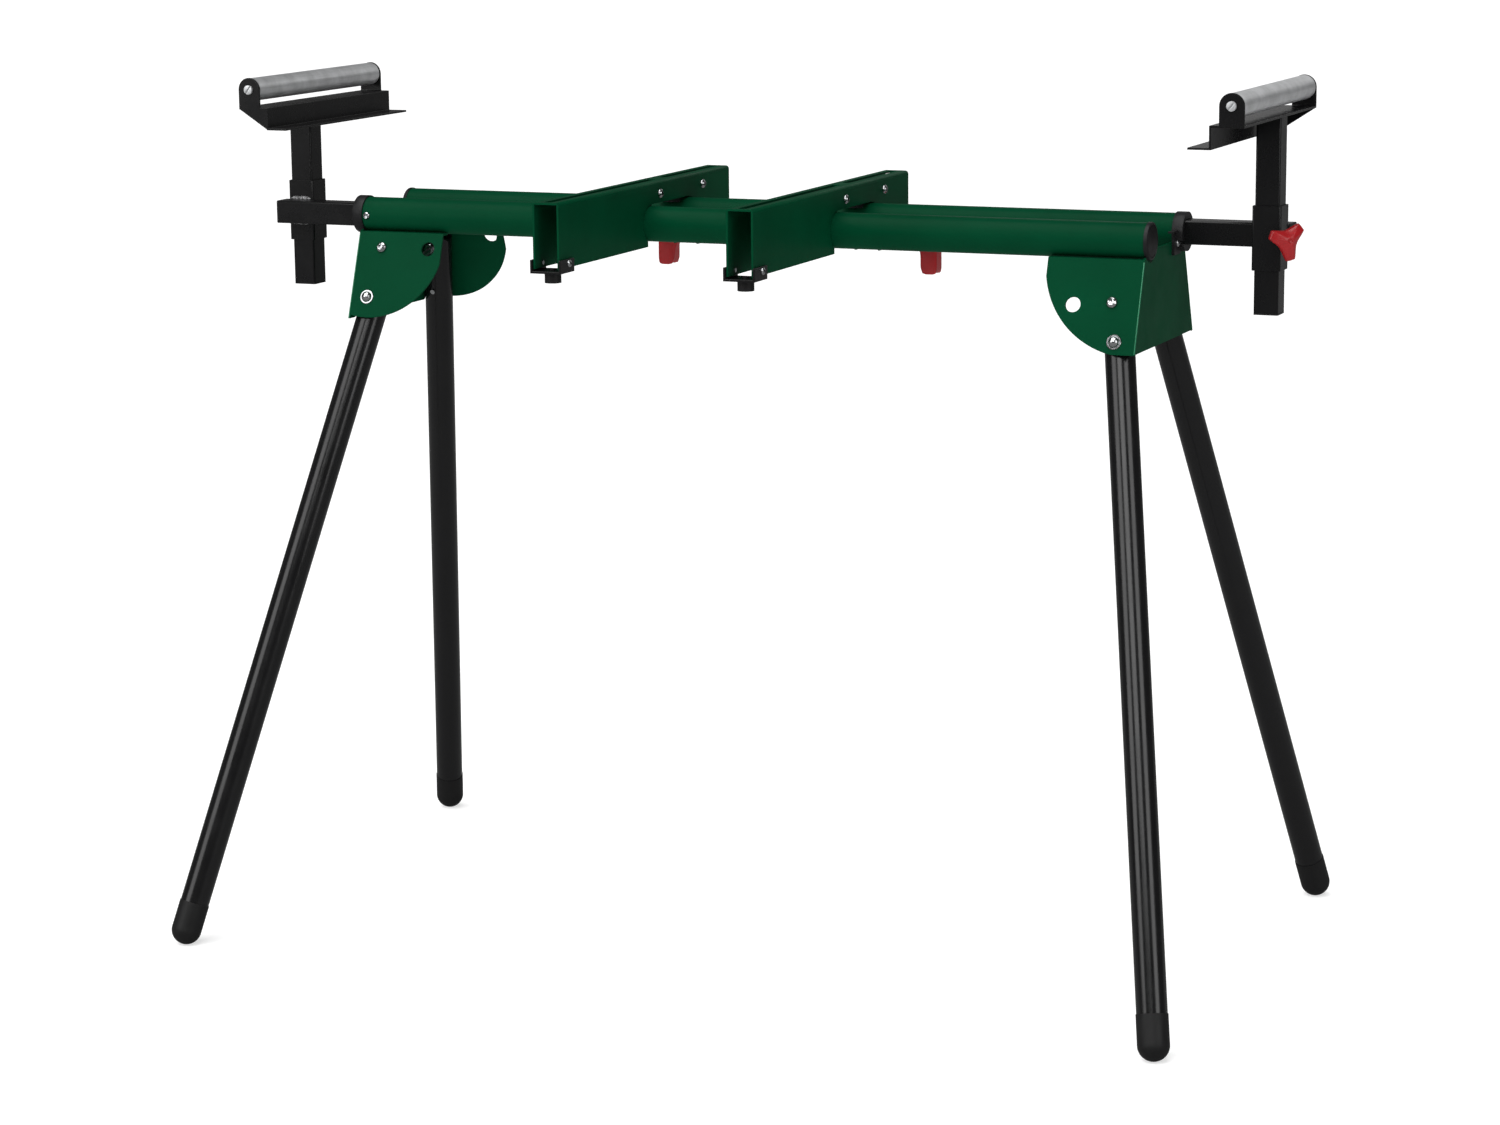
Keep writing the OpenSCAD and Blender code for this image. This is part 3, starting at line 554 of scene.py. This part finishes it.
# layers over the knob's back: (height, scale of the lobes, share of a plain circle)
POST_KNOB = [
    (0, 0.10, 1), (0, 0.72, 0.55), (1.0, 0.86, 0.30), (3.5, 0.95, 0.06), (6, 1.0, 0), (8.6, 1.0, 0),
    (10.2, 0.975, 0), (11.0, 0.93, 0), (13.0, 0.66, 0.10), (15.0, 0.44, 0.35), (15.9, 0.33, 0.8),
    (16.0, 0.27, 1), (15.7, 0.23, 1), (14.9, 0.19, 1), (14.6, 0.02, 1)
]
CLAMP_KNOB = [
    (0, 0.10, 1), (0, 0.86, 1), (1.5, 0.92, 0.96), (4.0, 0.88, 0.55), (5.0, 0.94, 0.16), (7.5, 0.985, 0.02),
    (12, 1.0, 0), (20, 1.0, 0), (23.5, 0.985, 0), (25, 0.955, 0), (25.8, 0.90, 0.03), (26, 0.80, 0.12),
    (25.9, 0.55, 0.7), (25.6, 0.48, 1), (24.2, 0.44, 1), (23.8, 0.02, 1)
]
POST_KNOB_SIZE = (23.2, 5.6, 12.2)             # reach of the lobes, half their tips' width, waist
CLAMP_KNOB_SIZE = (42.6, 10.4, 14.0)
POST_KNOB_SPIN = {"left": 0, "right": 41}
POST_KNOB_THICK = 16
CLAMP_KNOB_SPIN = -90
for side in SIDES:
    turn = JOINTS[f"{side}_post_knob_turn"]
    axis, at = Vector(turn["axis"]), Vector(turn["pos_m"])
    node = NODES[f"{side}_post_knob"]
    along = [axis.dot(v.co - at) / MM for v in node.data.vertices]
    foot, top = min(along), max(along)
    back = top - POST_KNOB_THICK
    grip, stud = Mesh(), Mesh()
    layers = [(back + height, scale, roundness) for height, scale, roundness in POST_KNOB]
    knob(grip, upright(at, axis, POST_KNOB_SPIN[side]), *POST_KNOB_SIZE, layers)
    name = f"{side}_post_knob"
    grip.piece(f"{name}_grip", "red_plastic", name, name, smooth=50)
    stud.lathe(facing(at, axis), [
        (TIP, foot), (3.4, foot), (4, foot + 0.8), (4, back - 2), (6.4, back - 1.6), (6.4, back + 0.1),
        (TIP, back + 0.1)
    ])
    stud.piece(f"{name}_stud", "bright_steel", name)

    turn = JOINTS[f"{side}_clamp_knob_turn"]
    axis = Vector(turn["axis"])
    low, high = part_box(f"{side}_clamp_knob")
    at = (low.x if axis.x > 0 else high.x, *turn["pos_m"][1:])
    grip = Mesh()
    knob(grip, upright(at, axis, CLAMP_KNOB_SPIN), *CLAMP_KNOB_SIZE, CLAMP_KNOB)
    name = f"{side}_clamp_knob"
    grip.piece(f"{name}_grip", "red_plastic", name, name, smooth=50)

# ---------------------------------------------------------------- weld beads

random.seed(7)


def weld_bead(mesh, start, end, up, out, radius):
    """Rippled bead lying in the corner between two faces that look along up and out."""
    start, end, up, out = Vector(start), Vector(end), Vector(up), Vector(out)
    steps = max(12, int((end - start).length / (0.9 * MM)))
    rings = []
    for i in range(steps + 1):
        t = i / steps
        ripple = 1 + 0.20 * math.sin(i * 2.1) + 0.22 * (random.random() - 0.5)
        r = radius * MM * ripple * min(1, 4.5 * min(t, 1 - t) + 0.25)
        centre = start.lerp(end, t)
        rings.append([
            centre + (up * math.cos(a) + out * math.sin(a)) * r
            for a in (2 * math.pi * k / 12 for k in range(12))
        ])
    mesh.loft(rings)


BEAD_RADIUS = 3.0
BEAD_HALF = 17 * MM * 0.8              # most of the sleeve's half width
SEAM = 42.4 * MM                       # from the middle to the arm's face that the sleeve stands against
ARM_HALF = 14 * MM
for side, turn in (("left", -1), ("right", 1)):
    low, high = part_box(f"{side}_post")
    x = (low.x + high.x) / 2
    y = turn * SEAM + turn * 0.4 * MM
    beads = Mesh()
    for up in (1, -1):
        z = TUBE_Z + up * ARM_HALF + up * 0.6 * MM
        ends = ((x - BEAD_HALF, y, z), (x + BEAD_HALF, y, z))
        weld_bead(beads, *ends, (0, 0, up), (0, turn, 0), BEAD_RADIUS)
    beads.piece(f"{side}_sleeve_welds", "black_paint", f"{side}_arm", material=WELD)

# ---------------------------------------------------------------- rounded folds of the brackets, drawn as light-green rods: a painted highlight along the bends

FLARE = math.radians(19.6)             # how far the side plates lean
FOLD_TOP_Y, FOLD_TOP_Z = 0.0790, 0.8490        # on the side plate's outer face
FOLD_LENGTH = 0.1100
FOLD_INSET = 0.6 * MM
WEB_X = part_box("right_bracket")[1].x
# thin light-green rods on the folds: a painted highlight where the bends catch the light
highlight_rods = Mesh()
for end in (1, -1):
    for face in (1, -1):
        out = Vector((0, face * math.cos(FLARE), math.sin(FLARE)))
        down = Vector((0, face * math.sin(FLARE), -math.cos(FLARE)))
        top = Vector((end * (WEB_X - FOLD_INSET), face * FOLD_TOP_Y, FOLD_TOP_Z)) - out * FOLD_INSET
        rings = []
        for reach, r in ((0.002, 0.3), (0.003, 0.8), (FOLD_LENGTH - 0.001, 0.8), (FOLD_LENGTH, 0.3)):
            rings.append([
                top + down * reach + (out * math.cos(a) + Vector((end, 0, 0)) * math.sin(a)) * r * MM
                for a in (2 * math.pi * k / 12 for k in range(12))
            ])
        highlight_rods.loft(rings)
highlight_rods.piece("bracket_fold_highlights", "green_paint", "beam", material=PAINTED_FOLD_HIGHLIGHT)

# ---------------------------------------------------------------- CAD pieces that stay

for name, node in NODES.items():
    if node.hide_render or SLOT_OF[name] not in EDGE:
        continue
    if not name.endswith(PLAIN):
        soften(node, EDGE[SLOT_OF[name]])

# ---------------------------------------------------------------- floor and light


FLOOR_HALF = 40


def add_floor():
    """A white backdrop that mirrors darker than it looks, so that dark paint stays dark."""
    mesh = bpy.data.meshes.new("floor")
    corners = [(x * FLOOR_HALF, y * FLOOR_HALF, 0) for x, y in ((-1, -1), (1, -1), (1, 1), (-1, 1))]
    mesh.from_pydata(corners, [], [(0, 1, 2, 3)])
    n = Nodes("floor")
    n.set(Roughness=0.9, Specular_IOR_Level=0.1, Emission_Color=(1, 1, 1, 1))
    seen = n.tree.nodes.new("ShaderNodeLightPath").outputs["Is Glossy Ray"]
    n.link(n.ramp(seen, [(0, 0.50), (1, 0.14)]), "Base Color")
    n.link(n.ramp(seen, [(0, 0.62), (1, 0.08)]), "Emission Strength")
    mesh.materials.append(n.material)
    floor = bpy.data.objects.new("floor", mesh)
    bpy.context.scene.collection.objects.link(floor)


def add_softbox(name, at, target, width, height, power):
    """A rectangular lamp at a point, turned to its target."""
    data = bpy.data.lights.new(name, "AREA")
    data.shape = "RECTANGLE"
    data.size, data.size_y = width, height
    data.energy = power
    light = bpy.data.objects.new(name, data)
    light.location = at
    light.rotation_mode = "QUATERNION"
    light.rotation_quaternion = (Vector(target) - Vector(at)).to_track_quat("-Z", "Y")
    bpy.context.scene.collection.objects.link(light)


def add_light():
    data = bpy.data.lights.new("overhead", "SUN")
    data.energy, data.angle = 3.1, math.radians(60)
    sun = bpy.data.objects.new("overhead", data)
    sun.rotation_euler = (math.radians(16), math.radians(-8), 0)
    bpy.context.scene.collection.objects.link(sun)
    middle = (0, 0, 0.6)
    add_softbox("front_left", (-2.6, -3.6, 2.4), middle, 2.6, 3.0, 72)
    add_softbox("front_right", (3.9, -1.9, 2.1), middle, 1.8, 2.8, 48)
    add_softbox("front", (1.0, -4.8, 3.6), middle, 3.0, 2.0, 76)
    add_softbox("back", (0.6, 4.6, 2.6), middle, 4.5, 1.6, 12)
    world = bpy.data.worlds.new("studio")
    world.use_nodes = True
    tree = world.node_tree
    seen = tree.nodes["Background"]
    seen.inputs["Color"].default_value = (1, 1, 1, 1)
    seen.inputs["Strength"].default_value = 1.0
    lit = tree.nodes.new("ShaderNodeBackground")
    lit.inputs["Color"].default_value = (1, 1, 1, 1)
    lit.inputs["Strength"].default_value = 0.10
    path = tree.nodes.new("ShaderNodeLightPath")
    mix = tree.nodes.new("ShaderNodeMixShader")
    tree.links.new(path.outputs["Is Camera Ray"], mix.inputs["Fac"])
    tree.links.new(lit.outputs[0], mix.inputs[1])
    tree.links.new(seen.outputs[0], mix.inputs[2])
    tree.links.new(mix.outputs[0], tree.nodes["World Output"].inputs["Surface"])
    bpy.context.scene.world = world
    bpy.context.scene.view_settings.view_transform = "Standard"


add_floor()
add_light()

# ---------------------------------------------------------------- the end

bpy.context.view_layer.update()
